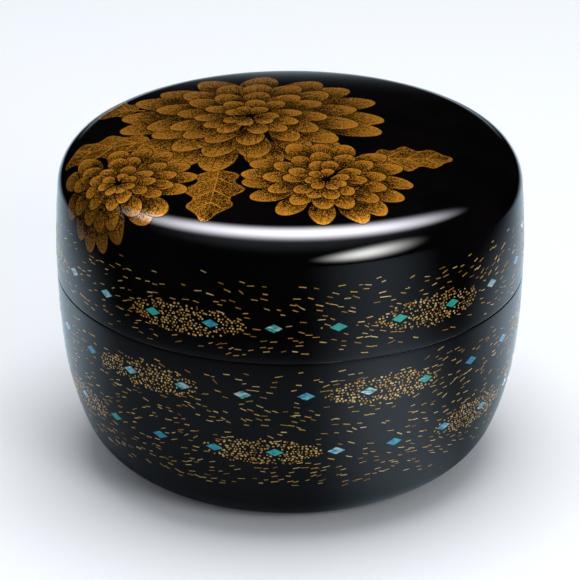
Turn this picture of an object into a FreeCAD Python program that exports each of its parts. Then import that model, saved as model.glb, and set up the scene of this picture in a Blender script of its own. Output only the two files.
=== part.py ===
# Flat lidded tea caddy: turned wood under black lacquer, with mother-of-pearl let into the lacquer.
# The origin is at the middle of the foot, +Z is up. Lengths are millimetres, angles are degrees.
import FreeCAD, Part
import math
import os
from collections import namedtuple

import Sketcher

FULL_TURN = 360

# How a sketch counts its own axes, its root point and the ends of an edge.
HORIZONTAL_AXIS = -1
VERTICAL_AXIS = -2
ROOT = (-1, 1)
START = 1
END = 2

# Driving sizes: name in the sheet, value, what it measures.
SIZES = [
    ("max_diameter", "82.0", "widest diameter, on the lid just above the seam"),
    ("total_height", "60.2", "foot to the top of the crown"),
    ("seam_height", "34.7", "foot to the joint between body and lid"),
    ("widest_height", "37.8", "height of the widest ring"),
    ("side_radius", "158.0", "slow upright curve that body and lid share"),
    ("side_foot_height", "21.5", "height where the side curve hands over to the belly"),
    ("belly_radius", "50.0", "curve of the belly below the side"),
    ("base_top_height", "8.1", "height where the belly hands over to the tuck above the foot"),
    ("foot_slope", "16.0", "angle at which the tuck meets the foot plane"),
    ("shoulder_radius", "7.2", "round between the lid's side and its crown"),
    ("crown_radius", "230.0", "low dome of the lid"),
    ("coat_thickness", "0.5", "outer lacquer with its ground"),
    ("inner_coat_thickness", "0.3", "lacquer inside, on the collar and on the seam faces"),
    ("floor_thickness", "2.8", "wood of the body's floor"),
    ("cup_corner_radius", "12.0", "round between the floor and the wall inside the body"),
    ("collar_height", "6.0", "collar above the seam, inside the lid"),
    ("collar_wall", "1.7", "collar with its lacquer"),
    ("fit_clearance", "0.12", "gap all round between collar and lid"),
    ("edge_rounding", "0.4", "rounded edges of the collar and of the lid's bore"),
    ("arris_radius", "0.22", "rounded outer edges at the seam"),
    ("lid_rim_wall", "2.4", "lid wall at the seam with its lacquer"),
    ("crown_thickness", "2.2", "wood of the lid's crown"),
    ("lid_corner_radius", "8.0", "round between wall and ceiling inside the lid"),
    ("inlay_count", "24", "shell lozenges in each ring"),
    ("inlay_width", "3.0", "lozenge along the ring"),
    ("inlay_height", "1.5", "lozenge across the ring"),
    ("inlay_depth", "0.3", "shell thickness at the middle of a lozenge"),
    ("lid_ring_rise", "6.3", "lid ring above the seam"),
    ("upper_ring_drop", "6.2", "upper body ring below the seam"),
    ("lower_ring_drop", "17.2", "lower body ring below the seam"),
]

# Sizes that follow from the driving ones. The side, belly and tuck are arcs that run into each
# other without a kink, and so are the side, shoulder and crown.
WORKED = [
    ("side_centre_x", "sizes.max_diameter / 2 - sizes.side_radius"),
    ("side_end_sine", "(sizes.side_foot_height - sizes.widest_height) / sizes.side_radius"),
    ("side_end_cosine", "sqrt(1 - side_end_sine ^ 2)"),
    ("belly_centre_x", "side_centre_x + (sizes.side_radius - sizes.belly_radius) * side_end_cosine"),
    ("belly_centre_z", "sizes.widest_height + (sizes.side_radius - sizes.belly_radius) * side_end_sine"),
    ("belly_end_sine", "(sizes.base_top_height - belly_centre_z) / sizes.belly_radius"),
    ("belly_end_cosine", "sqrt(1 - belly_end_sine ^ 2)"),
    ("tuck_radius", "sizes.base_top_height / (cos(sizes.foot_slope) + belly_end_sine)"),
    ("tuck_centre_x", "belly_centre_x + (sizes.belly_radius - tuck_radius) * belly_end_cosine"),
    ("tuck_centre_z", "tuck_radius * cos(sizes.foot_slope)"),
    ("seam_rise", "sizes.seam_height - sizes.widest_height"),
    ("seam_radius", "side_centre_x + sqrt(sizes.side_radius ^ 2 - seam_rise ^ 2)"),
    ("bore_radius", "seam_radius - sizes.lid_rim_wall"),
    ("collar_radius", "bore_radius - sizes.fit_clearance"),
    ("mouth_radius", "collar_radius - sizes.collar_wall"),
    ("collar_top", "sizes.seam_height + sizes.collar_height"),
    ("ledge_height", "sizes.seam_height - sizes.inner_coat_thickness"),
    ("rim_height", "sizes.seam_height + sizes.inner_coat_thickness"),
    ("wood_floor_height", "sizes.coat_thickness + sizes.floor_thickness"),
    ("floor_height", "wood_floor_height + sizes.inner_coat_thickness"),
    ("lid_ring_height", "sizes.seam_height + sizes.lid_ring_rise"),
    ("upper_ring_height", "sizes.seam_height - sizes.upper_ring_drop"),
    ("lower_ring_height", "sizes.seam_height - sizes.lower_ring_drop"),
    ("cup_corner_x", "mouth_radius - sizes.cup_corner_radius"),
    ("cup_corner_z", "floor_height + sizes.cup_corner_radius"),
    ("crown_centre_z", "sizes.total_height - sizes.crown_radius"),
    ("side_reach", "sizes.side_radius - sizes.shoulder_radius"),
    ("crown_reach", "sizes.crown_radius - sizes.shoulder_radius"),
    ("centre_rise", "crown_centre_z - sizes.widest_height"),
    ("centre_gap", "sqrt(side_centre_x ^ 2 + centre_rise ^ 2)"),
    ("gap_share", "(side_reach ^ 2 - crown_reach ^ 2 + centre_gap ^ 2) / (2 * centre_gap)"),
    ("gap_offset", "sqrt(side_reach ^ 2 - gap_share ^ 2)"),
    ("shoulder_x", "side_centre_x - (gap_share * side_centre_x + gap_offset * centre_rise) / centre_gap"),
    ("shoulder_z",
     "sizes.widest_height + (gap_share * centre_rise - gap_offset * side_centre_x) / centre_gap"),
    ("shoulder_low_cosine", "(shoulder_x - side_centre_x) / side_reach"),
    ("shoulder_low_sine", "(shoulder_z - sizes.widest_height) / side_reach"),
    ("shoulder_top_cosine", "shoulder_x / crown_reach"),
    ("shoulder_top_sine", "(shoulder_z - crown_centre_z) / crown_reach"),
    ("wood_ceiling_radius", "sizes.crown_radius - sizes.coat_thickness - sizes.crown_thickness"),
    ("ceiling_radius", "wood_ceiling_radius - sizes.inner_coat_thickness"),
    ("lid_corner_x", "bore_radius - sizes.lid_corner_radius"),
    ("lid_corner_reach", "ceiling_radius - sizes.lid_corner_radius"),
    ("lid_corner_z", "crown_centre_z + sqrt(lid_corner_reach ^ 2 - lid_corner_x ^ 2)"),
    ("lid_corner_cosine", "lid_corner_x / lid_corner_reach"),
    ("lid_corner_sine", "(lid_corner_z - crown_centre_z) / lid_corner_reach"),
]

# An arc of an outline: its centre and radius, each an expression on the sheets.
Arc = namedtuple("Arc", "x z radius")

AXIS = "0"
FOOT_PLANE = "0"
NO_INSET = "0"
COAT = "sizes.coat_thickness"
INNER_COAT = "sizes.inner_coat_thickness"
ROUNDING = "sizes.edge_rounding"
SEAM = "sizes.seam_height"

doc = FreeCAD.newDocument("tea_caddy")


def fill_sheets():
    """Make the sheet of driving sizes and the sheet of sizes worked out from them."""
    sizes = doc.addObject("Spreadsheet::Sheet", "sizes")
    for row, (alias, number, meaning) in enumerate(SIZES, start=1):
        sizes.set(f"A{row}", meaning)
        sizes.set(f"B{row}", number)
        sizes.setAlias(f"B{row}", alias)
    doc.recompute()
    worked = doc.addObject("Spreadsheet::Sheet", "worked")
    for row, (alias, formula) in enumerate(WORKED, start=1):
        worked.set(f"A{row}", f"={formula}")
        worked.setAlias(f"A{row}", alias)
        doc.recompute()
    return worked


worked_sheet = fill_sheets()


def value(expression):
    """Number that an expression on the sheets has now."""
    return float(worked_sheet.evalExpression(expression))


def inset(arc, depth):
    """Arc about the same centre, nearer to it by depth."""
    return Arc(arc.x, arc.z, f"{arc.radius} - {depth}")


def polar(arc, depth, cosine, sine):
    """Point of an inset arc in the direction that has this cosine and sine."""
    reach = f"({arc.radius} - {depth})"
    return f"{arc.x} + {reach} * {cosine}", f"{arc.z} + {reach} * {sine}"


def at_height(arc, depth, height):
    """Point of an inset arc at this height, on the side away from the axis."""
    return f"{arc.x} + sqrt(({arc.radius} - {depth}) ^ 2 - ({height} - {arc.z}) ^ 2)", height


SIDE = Arc("worked.side_centre_x", "sizes.widest_height", "sizes.side_radius")
BELLY = Arc("worked.belly_centre_x", "worked.belly_centre_z", "sizes.belly_radius")
TUCK = Arc("worked.tuck_centre_x", "worked.tuck_centre_z", "worked.tuck_radius")
SHOULDER = Arc("worked.shoulder_x", "worked.shoulder_z", "sizes.shoulder_radius")
CROWN = Arc(AXIS, "worked.crown_centre_z", "sizes.crown_radius")
CUP_CORNER = Arc("worked.cup_corner_x", "worked.cup_corner_z", "sizes.cup_corner_radius")
LID_CORNER = Arc("worked.lid_corner_x", "worked.lid_corner_z", "sizes.lid_corner_radius")
CEILING = Arc(AXIS, "worked.crown_centre_z", "worked.ceiling_radius")


def origin_feature(body, role):
    """Plane or axis of a body's own origin."""
    return next(feature for feature in body.Origin.OriginFeatures if feature.Role == role)


def bind(sketch, constraint, expression):
    """Add a constraint and tie its number to the sheets."""
    index = sketch.addConstraint(constraint)
    sketch.setExpression(f"Constraints[{index}]", expression)


def fix_point(sketch, geometry, end, corner):
    """Hold one end of an edge at a corner, given as two expressions."""
    x, z = corner
    if x == AXIS:
        sketch.addConstraint(Sketcher.Constraint("PointOnObject", geometry, end, VERTICAL_AXIS))
    else:
        bind(sketch, Sketcher.Constraint("DistanceX", *ROOT, geometry, end, value(x)), x)
    if z == FOOT_PLANE:
        sketch.addConstraint(Sketcher.Constraint("PointOnObject", geometry, end, HORIZONTAL_AXIS))
    else:
        bind(sketch, Sketcher.Constraint("DistanceY", *ROOT, geometry, end, value(z)), z)


def add_edge(sketch, start, end, arc):
    """Draw a line, or the shorter way along an arc, and say which of its ends comes first."""
    if arc is None:
        return sketch.addGeometry(Part.LineSegment(start, end), False), START, END
    centre = FreeCAD.Vector(value(arc.x), value(arc.z), 0)
    circle = Part.Circle(centre, FreeCAD.Vector(0, 0, 1), value(arc.radius))
    first = math.atan2(start.y - centre.y, start.x - centre.x)
    last = math.atan2(end.y - centre.y, end.x - centre.x)
    if (last - first) % math.tau < math.pi:
        return sketch.addGeometry(Part.ArcOfCircle(circle, first, last), False), START, END
    return sketch.addGeometry(Part.ArcOfCircle(circle, last, first), False), END, START


def draw_outline(sketch, outline):
    """Draw a closed outline. Each row is a corner and the arc to the next one, None for a line."""
    corners = [FreeCAD.Vector(value(x), value(z), 0) for (x, z), _ in outline]
    following = corners[1:] + corners[:1]
    edges = [add_edge(sketch, start, end, arc)
             for start, end, (_, arc) in zip(corners, following, outline)]
    for (geometry, _, end), (next_geometry, next_start, _) in zip(edges, edges[1:] + edges[:1]):
        sketch.addConstraint(Sketcher.Constraint("Coincident", geometry, end, next_geometry, next_start))
    for (geometry, start, _), (corner, arc) in zip(edges, outline):
        fix_point(sketch, geometry, start, corner)
        if arc is not None:
            bind(sketch, Sketcher.Constraint("Radius", geometry, value(arc.radius)), arc.radius)


def upright_sketch(body, name):
    """Sketch on the body's XZ plane: X runs out from the axis, Y is height."""
    sketch = body.newObject("Sketcher::SketchObject", name)
    sketch.AttachmentSupport = [(origin_feature(body, "XZ_Plane"), "")]
    sketch.MapMode = "FlatFace"
    return sketch


def turned(name, outline):
    """Body of revolution from its half section."""
    body = doc.addObject("PartDesign::Body", name)
    body.Label = name
    sketch = upright_sketch(body, f"{name}_section")
    draw_outline(sketch, outline)
    revolution = body.newObject("PartDesign::Revolution", f"{name}_turning")
    revolution.Profile = sketch
    revolution.ReferenceAxis = (sketch, ["V_Axis"])
    revolution.Angle = FULL_TURN
    doc.recompute()
    return body


def round_seam_edge(body):
    """Round the outer edge of a coat where it meets the seam plane."""
    turning = body.Tip
    seam_radius = value("worked.seam_radius")
    seam_height = value(SEAM)
    names = [f"Edge{number}" for number, edge in enumerate(turning.Shape.Edges, start=1)
             if not edge.Degenerated
             and edge.Curve.TypeId == "Part::GeomCircle"
             and math.isclose(edge.Curve.Radius, seam_radius, abs_tol=1e-6)
             and math.isclose(edge.Curve.Center.z, seam_height, abs_tol=1e-6)]
    fillet = body.newObject("PartDesign::Fillet", f"{body.Name}_arris")
    fillet.Base = (turning, names)
    fillet.setExpression("Radius", "sizes.arris_radius")
    doc.recompute()


def body_flank(depth, top):
    """Outside of the body from the underside's lacquer up to top, inset by depth."""
    return [
        (at_height(TUCK, depth, COAT), inset(TUCK, depth)),
        (polar(BELLY, depth, "worked.belly_end_cosine", "worked.belly_end_sine"), inset(BELLY, depth)),
        (polar(SIDE, depth, "worked.side_end_cosine", "worked.side_end_sine"), inset(SIDE, depth)),
        (at_height(SIDE, depth, top), None),
    ]


def lid_flank(depth, bottom):
    """Outside of the lid from bottom up to the top of the crown, inset by depth."""
    return [
        (at_height(SIDE, depth, bottom), inset(SIDE, depth)),
        (polar(SIDE, depth, "worked.shoulder_low_cosine", "worked.shoulder_low_sine"),
         inset(SHOULDER, depth)),
        (polar(CROWN, depth, "worked.shoulder_top_cosine", "worked.shoulder_top_sine"),
         inset(CROWN, depth)),
        ((AXIS, f"sizes.total_height - {depth}"), None),
    ]


def backwards(outline):
    """The same open run of corners and arcs from its far end."""
    arcs = [arc for _, arc in outline[:-1]]
    corners = [corner for corner, _ in outline]
    return list(zip(reversed(corners), list(reversed(arcs)) + [None]))


def cup_lining(depth):
    """Inside of the body from the mouth down to the axis, depth behind the lacquer's face."""
    corner = Arc(CUP_CORNER.x, CUP_CORNER.z, f"{CUP_CORNER.radius} + {depth}")
    return [
        ((f"worked.mouth_radius + {depth}", "worked.cup_corner_z"), corner),
        (("worked.cup_corner_x", f"worked.floor_height - {depth}"), None),
        ((AXIS, f"worked.floor_height - {depth}"), None),
    ]


def lid_lining(depth):
    """Inside of the lid from the axis down to the top of the bore, depth behind the lacquer's face."""
    ceiling = Arc(CEILING.x, CEILING.z, f"{CEILING.radius} + {depth}")
    corner = Arc(LID_CORNER.x, LID_CORNER.z, f"{LID_CORNER.radius} + {depth}")
    return [
        ((AXIS, f"worked.crown_centre_z + {ceiling.radius}"), ceiling),
        (polar(ceiling, NO_INSET, "worked.lid_corner_cosine", "worked.lid_corner_sine"), corner),
        ((f"worked.bore_radius + {depth}", "worked.lid_corner_z"), None),
    ]


def make_body_core():
    """Turned wooden cup with its raised collar."""
    collar_face = f"worked.collar_radius - {INNER_COAT}"
    collar_top = f"worked.collar_top - {INNER_COAT}"
    return turned("body_core", [
        ((AXIS, COAT), None),
        *body_flank(COAT, "worked.ledge_height"),
        ((collar_face, "worked.ledge_height"), None),
        ((collar_face, collar_top), None),
        ((f"worked.mouth_radius + {INNER_COAT}", collar_top), None),
        *cup_lining(INNER_COAT),
    ])


def make_body_inner_lacquer():
    """Lacquer over the floor, the inner wall, the collar and the ledge that carries the lid."""
    collar_face = f"worked.collar_radius - {INNER_COAT}"
    collar_top = f"worked.collar_top - {INNER_COAT}"
    ledge_end, _ = at_height(SIDE, COAT, "worked.ledge_height")
    below_edge = f"worked.collar_top - {ROUNDING}"
    outer_edge = f"worked.collar_radius - {ROUNDING}"
    inner_edge = f"worked.mouth_radius + {ROUNDING}"
    return turned("body_inner_lacquer", [
        *backwards(cup_lining(INNER_COAT)),
        ((f"worked.mouth_radius + {INNER_COAT}", collar_top), None),
        ((collar_face, collar_top), None),
        ((collar_face, "worked.ledge_height"), None),
        ((ledge_end, "worked.ledge_height"), None),
        ((ledge_end, SEAM), None),
        (("worked.collar_radius", SEAM), None),
        (("worked.collar_radius", below_edge), Arc(outer_edge, below_edge, ROUNDING)),
        ((outer_edge, "worked.collar_top"), None),
        ((inner_edge, "worked.collar_top"), Arc(inner_edge, below_edge, ROUNDING)),
        (("worked.mouth_radius", below_edge), None),
        *cup_lining(NO_INSET),
    ])


def make_body_coat():
    """Lacquer over the outside of the body, from the underside's lacquer to the seam."""
    ledge_end, _ = at_height(SIDE, COAT, "worked.ledge_height")
    return turned("body_coat", [
        *body_flank(NO_INSET, SEAM),
        ((ledge_end, SEAM), None),
        *backwards(body_flank(COAT, "worked.ledge_height")),
    ])


def make_lid_core():
    """Turned wooden lid."""
    return turned("lid_core", [
        *lid_flank(COAT, "worked.rim_height"),
        *lid_lining(INNER_COAT),
        ((f"worked.bore_radius + {INNER_COAT}", "worked.rim_height"), None),
    ])


def make_lid_inner_lacquer():
    """Lacquer over the ceiling, the bore and the lower face of the lid."""
    rim_end, _ = at_height(SIDE, COAT, "worked.rim_height")
    above_edge = f"{SEAM} + {ROUNDING}"
    bore_edge = f"worked.bore_radius + {ROUNDING}"
    return turned("lid_inner_lacquer", [
        *lid_lining(INNER_COAT),
        ((f"worked.bore_radius + {INNER_COAT}", "worked.rim_height"), None),
        ((rim_end, "worked.rim_height"), None),
        ((rim_end, SEAM), None),
        ((bore_edge, SEAM), Arc(bore_edge, above_edge, ROUNDING)),
        (("worked.bore_radius", above_edge), None),
        *backwards(lid_lining(NO_INSET)),
    ])


def make_lid_coat():
    """Lacquer over the outside of the lid, from the seam to the crown."""
    rim_end, _ = at_height(SIDE, COAT, "worked.rim_height")
    return turned("lid_coat", [
        ((rim_end, SEAM), None),
        *lid_flank(NO_INSET, SEAM),
        *backwards(lid_flank(COAT, "worked.rim_height")),
    ])


def make_underside():
    """Lacquer under the foot, on which the caddy stands."""
    return turned("underside_lacquer", [
        ((AXIS, FOOT_PLANE), None),
        (at_height(TUCK, NO_INSET, FOOT_PLANE), TUCK),
        (at_height(TUCK, NO_INSET, COAT), None),
        ((AXIS, COAT), None),
    ])


def lozenge_outline(height):
    """Lozenge across the sketch's vertical axis at this height."""
    half_width = "sizes.inlay_width / 2"
    half_height = "sizes.inlay_height / 2"
    return [
        ((f"-{half_width}", height), None),
        ((AXIS, f"{height} - {half_height}"), None),
        ((half_width, height), None),
        ((AXIS, f"{height} + {half_height}"), None),
    ]


def make_bars(name, ring, turn):
    """Ring of lozenge-shaped bars that point outwards from the floors of the pockets."""
    ring_radius, ring_height = ring
    bars = doc.addObject("PartDesign::Body", name)
    bars.AllowCompound = True
    sketch = upright_sketch(bars, f"{name}_lozenge")
    draw_outline(sketch, lozenge_outline(ring_height))
    sketch.setExpression("AttachmentOffset.Base.z", f"{ring_radius} - sizes.inlay_depth")
    bar = bars.newObject("PartDesign::Pad", f"{name}_bar")
    bar.Profile = sketch
    bar.setExpression("Length", "sizes.max_diameter / 2")
    doc.recompute()
    circle = bars.newObject("PartDesign::PolarPattern", f"{name}_circle")
    circle.Originals = [bar]
    circle.Axis = (origin_feature(bars, "Z_Axis"), [""])
    circle.Angle = FULL_TURN
    circle.setExpression("Occurrences", "sizes.inlay_count")
    bars.Tip = circle
    bars.setExpression("Placement.Rotation.Angle", turn)
    doc.recompute()
    return bars


def boolean(kind, name, base, tool):
    """Boolean of two objects, under its own label."""
    result = doc.addObject(kind, name)
    result.Label = name
    result.Base = base
    result.Tool = tool
    doc.recompute()
    return result


def export(nodes):
    """Check every object and every shape, then write one file for each node."""
    failed = [item.Name for item in doc.Objects if {"Invalid", "Error"} & set(item.State)]
    failed += [node.Label for node in nodes if node.Shape.isNull() or not node.Shape.isValid()]
    if failed:
        raise RuntimeError(f"these did not build: {failed}")
    os.makedirs("parts", exist_ok=True)
    for node in nodes:
        node.Shape.exportStep(os.path.join("parts", f"{node.Label}.step"))
        print(f"{node.Label}: {len(node.Shape.Solids)} solids, {node.Shape.Volume:.2f} mm3")


# Neighbouring rings are half a step apart, so that the lozenges stand in diagonal rows.
QUARTER_STEP = "90 / sizes.inlay_count"
THREE_QUARTER_STEP = "270 / sizes.inlay_count"
LID_RING = at_height(SIDE, NO_INSET, "worked.lid_ring_height")
UPPER_RING = at_height(SIDE, NO_INSET, "worked.upper_ring_height")
LOWER_RING = at_height(BELLY, NO_INSET, "worked.lower_ring_height")

body_coat = make_body_coat()
round_seam_edge(body_coat)
upper_bars = make_bars("upper_bars", UPPER_RING, QUARTER_STEP)
lower_bars = make_bars("lower_bars", LOWER_RING, THREE_QUARTER_STEP)
body_bars = doc.addObject("Part::Compound", "body_bars")
body_bars.Links = [upper_bars, lower_bars]

lid_coat = make_lid_coat()
round_seam_edge(lid_coat)
lid_bars = make_bars("lid_bars", LID_RING, THREE_QUARTER_STEP)

export([
    make_body_core(),
    make_body_inner_lacquer(),
    boolean("Part::Cut", "body_outer_lacquer", body_coat, body_bars),
    make_underside(),
    boolean("Part::Common", "body_upper_shell_inlays", body_coat, upper_bars),
    boolean("Part::Common", "body_lower_shell_inlays", body_coat, lower_bars),
    make_lid_core(),
    make_lid_inner_lacquer(),
    boolean("Part::Cut", "lid_outer_lacquer", lid_coat, lid_bars),
    boolean("Part::Common", "lid_shell_inlays", lid_coat, lid_bars),
])
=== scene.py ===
"""Looks of a flat lidded tea caddy: turned wood under black lacquer, with sprinkled gold and shell.

Lengths are millimetres until a mesh is written, which is in metres in the CAD frame: the origin is at
the middle of the foot and +Z is up. Azimuths are radians from the front, -Y, towards +X.
"""

import logging
import math
from dataclasses import dataclass
from enum import Enum
from functools import cached_property

import bpy
import numpy as np
from mathutils import Euler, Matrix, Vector


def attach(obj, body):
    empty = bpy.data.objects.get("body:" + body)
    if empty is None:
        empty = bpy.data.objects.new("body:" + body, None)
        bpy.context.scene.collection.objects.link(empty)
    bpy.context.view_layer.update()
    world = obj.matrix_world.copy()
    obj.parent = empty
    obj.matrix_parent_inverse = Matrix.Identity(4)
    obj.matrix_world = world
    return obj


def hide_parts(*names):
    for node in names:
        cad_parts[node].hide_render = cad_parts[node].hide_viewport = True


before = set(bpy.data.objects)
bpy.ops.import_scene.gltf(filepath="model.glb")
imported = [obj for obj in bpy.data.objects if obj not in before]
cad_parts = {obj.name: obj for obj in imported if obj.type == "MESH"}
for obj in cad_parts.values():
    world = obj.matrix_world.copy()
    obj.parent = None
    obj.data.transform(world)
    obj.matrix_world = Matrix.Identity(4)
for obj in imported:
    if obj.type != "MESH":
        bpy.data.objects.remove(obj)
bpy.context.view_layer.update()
LOG = logging.getLogger("tea_caddy")

MM = 0.001
FULL_TURN = 2 * math.pi
AROUND = 288  # steps round every turned coat
SHARP_ANGLE = math.radians(38)
# The polished face is drawn this far inside the CAD coat, which leaves room for gold and shell on it.
GOLD_ROOM = 0.05
# Gold reaches this far below the polished face, so that no rim stands open.
ROOT_DEPTH = 0.02
# Gold flecks on the sides stand this far above the polished face.
FLECK_LIFT = 0.018
# Gaps round the side are measured at this radius.
SIDE_RADIUS = 40.0
# Turns at which an outline is drawn when distances to it are taken.
OUTLINE_TURNS = np.linspace(0, FULL_TURN, 181)
# Stripe number well away from any furrow, for gold that has none.
NO_FURROW = 0.5
# Clear lacquer polished over gold and shell: one smooth gloss.
CLEAR_COAT = {"Coat Weight": 1.0, "Coat Roughness": 0.03, "Coat IOR": 1.5}


class Ride(Enum):
    """CAD body that a piece moves with."""

    BODY = "body"
    LID = "lid"


class Slot(Enum):
    """Material slot of the record that a piece takes its finish from."""

    LACQUER = "black_lacquer"
    SHELL = "mother_of_pearl"
    GOLD = "gold_powder"


def linear(code: str) -> tuple[float, float, float, float]:
    """Turn an sRGB hex colour into linear light.

    Args:
        code: Colour as "#RRGGBB".

    Returns:
        Red, green, blue and an alpha of 1.
    """
    share = np.array([int(code[at:at + 2], 16) for at in (1, 3, 5)]) / 255
    light = np.where(share <= 0.04045, share / 12.92, ((share + 0.055) / 1.055) ** 2.4)
    return (*map(float, light), 1.0)


def per_metre(size: float) -> float:
    """Scale of a texture on Object coordinates whose features are this many millimetres across."""
    return 1 / (size * MM)


def smoothstep(low: float, high: float, x: np.ndarray) -> np.ndarray:
    """Ease from 0 at low to 1 at high by 3t^2 - 2t^3, with low above high for a falling edge."""
    t = np.clip((np.asarray(x) - low) / (high - low), 0, 1)
    return t * t * (3 - 2 * t)


def add_node(tree: bpy.types.NodeTree, kind: str, inputs: dict | None = None, **settings) -> bpy.types.Node:
    """Add a node, set it up and link it.

    Args:
        tree: Node tree that gets the node.
        kind: Blender's name for the node's type.
        inputs: Values, or output sockets to link from, by the name or number of the node's input.
        settings: Properties of the node itself.

    Returns:
        The new node.
    """
    node = tree.nodes.new(kind)
    for name, setting in settings.items():
        setattr(node, name, setting)
    for name, source in (inputs or {}).items():
        if isinstance(source, bpy.types.NodeSocket):
            tree.links.new(source, node.inputs[name])
        else:
            node.inputs[name].default_value = source
    return node


def new_material(name: str) -> tuple[bpy.types.Material, bpy.types.NodeTree]:
    """Make an empty material.

    Args:
        name: Name of the material.

    Returns:
        The material and its node tree.
    """
    material = bpy.data.materials.new(name)
    material.use_nodes = True
    material.node_tree.nodes.clear()
    return material, material.node_tree


def set_ramp(ramp: bpy.types.ColorRamp, stops: list[tuple[float, str]]) -> None:
    """Give a colour ramp its stops.

    Args:
        ramp: Ramp of a Color Ramp node.
        stops: Place and hex colour of each stop.
    """
    while len(ramp.elements) < len(stops):
        ramp.elements.new(0.5)
    for element, (place, code) in zip(ramp.elements, stops):
        element.position = place
        element.color = linear(code)


@dataclass(frozen=True)
class BlackLacquer:
    """Black urushi, ground and polished to a mirror: deep black, sharp reflections, a trace of haze."""

    deep: str = "#030303"
    warm: str = "#070506"
    haze_size: float = 9.0
    clear: float = 0.025
    hazy: float = 0.045

    def material(self) -> bpy.types.Material:
        """Make the polished black lacquer, whose haze drifts slowly over the surface.

        Returns:
            The new material.
        """
        material, tree = new_material("polished_black_lacquer")
        place = add_node(tree, "ShaderNodeTexCoord")
        haze = add_node(tree, "ShaderNodeTexNoise", {
            "Vector": place.outputs["Object"], "Scale": per_metre(self.haze_size), "Detail": 3.0})
        colour = add_node(tree, "ShaderNodeValToRGB", {"Fac": haze.outputs["Fac"]})
        set_ramp(colour.color_ramp, [(0.35, self.deep), (0.65, self.warm)])
        rough = add_node(tree, "ShaderNodeMapRange", {
            "Value": haze.outputs["Fac"], "From Min": 0.3, "From Max": 0.7,
            "To Min": self.clear, "To Max": self.hazy})
        shader = add_node(tree, "ShaderNodeBsdfPrincipled", {
            "Base Color": colour.outputs["Color"], "Roughness": rough.outputs["Result"], "IOR": 1.52})
        add_node(tree, "ShaderNodeOutputMaterial", {"Surface": shader.outputs["BSDF"]})
        return material


@dataclass(frozen=True)
class GoldPowder:
    """Gold powder sprinkled on wet lacquer and polished under a clear coat.

    The eye sees deep amber metal of many tilts, fading to black specks where the powder is thin, under
    one smooth gloss. Real grains are near 0.05 mm, drawn here at 0.12 mm so that they show.
    """

    grain: float = 0.12
    black: str = "#040303"
    amber: str = "#6E450D"
    bright: str = "#B47C24"
    metal: float = 0.7
    line: float = 0.15
    soft: float = 0.3
    furrow: float = 0.45

    def material(self) -> bpy.types.Material:
        """Make the powder: a grain lies where the piece's powder is above that grain's own number.

        The powder is cut off along the piece's rim, which leaves a black line, and thins out along
        its furrows, where the piece's stripe passes an even number.

        Returns:
            The new material.
        """
        material, tree = new_material("sprinkled_gold_powder")
        place = add_node(tree, "ShaderNodeTexCoord")
        grains = add_node(tree, "ShaderNodeTexVoronoi", {
            "Vector": place.outputs["Object"], "Scale": per_metre(self.grain)})
        split = add_node(tree, "ShaderNodeSeparateColor", {"Color": grains.outputs["Color"]})
        powder = add_node(tree, "ShaderNodeAttribute", attribute_name="powder")
        rim = add_node(tree, "ShaderNodeAttribute", attribute_name="rim")
        stripe = add_node(tree, "ShaderNodeAttribute", attribute_name="stripe")
        off = add_node(tree, "ShaderNodeMath", {0: stripe.outputs["Fac"], 1: 1.0}, operation="PINGPONG")
        furrow = add_node(tree, "ShaderNodeMapRange", {
            "Value": off.outputs[0], "From Min": 0.02, "From Max": 0.12,
            "To Min": self.furrow, "To Max": 0.0})
        thin = add_node(tree, "ShaderNodeMath", {
            0: powder.outputs["Fac"], 1: furrow.outputs["Result"]}, operation="SUBTRACT")
        over = add_node(tree, "ShaderNodeMath", {
            0: thin.outputs[0], 1: split.outputs["Red"]}, operation="SUBTRACT")
        lies = add_node(tree, "ShaderNodeMapRange", {
            "Value": over.outputs[0], "From Min": -self.soft, "From Max": self.soft})
        inside = add_node(tree, "ShaderNodeMapRange", {
            "Value": rim.outputs["Fac"], "From Min": 0.7 * self.line, "From Max": 1.3 * self.line})
        gold = add_node(tree, "ShaderNodeMath", {
            0: lies.outputs["Result"], 1: inside.outputs["Result"]}, operation="MULTIPLY")
        tone = add_node(tree, "ShaderNodeValToRGB", {"Fac": split.outputs["Green"]})
        set_ramp(tone.color_ramp, [(0.0, self.amber), (1.0, self.bright)])
        colour = add_node(tree, "ShaderNodeMix", {
            "Factor": gold.outputs[0], 6: linear(self.black), 7: tone.outputs["Color"]}, data_type="RGBA")
        metal = add_node(tree, "ShaderNodeMath", {0: gold.outputs[0], 1: self.metal}, operation="MULTIPLY")
        rough = add_node(tree, "ShaderNodeMapRange", {
            "Value": split.outputs["Blue"], "To Min": 0.42, "To Max": 0.6})
        shader = add_node(tree, "ShaderNodeBsdfPrincipled", {
            "Base Color": colour.outputs[2], "Metallic": metal.outputs[0],
            "Roughness": rough.outputs["Result"], "Specular IOR Level": 0.0, **CLEAR_COAT})
        add_node(tree, "ShaderNodeOutputMaterial", {"Surface": shader.outputs["BSDF"]})
        return material


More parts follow.
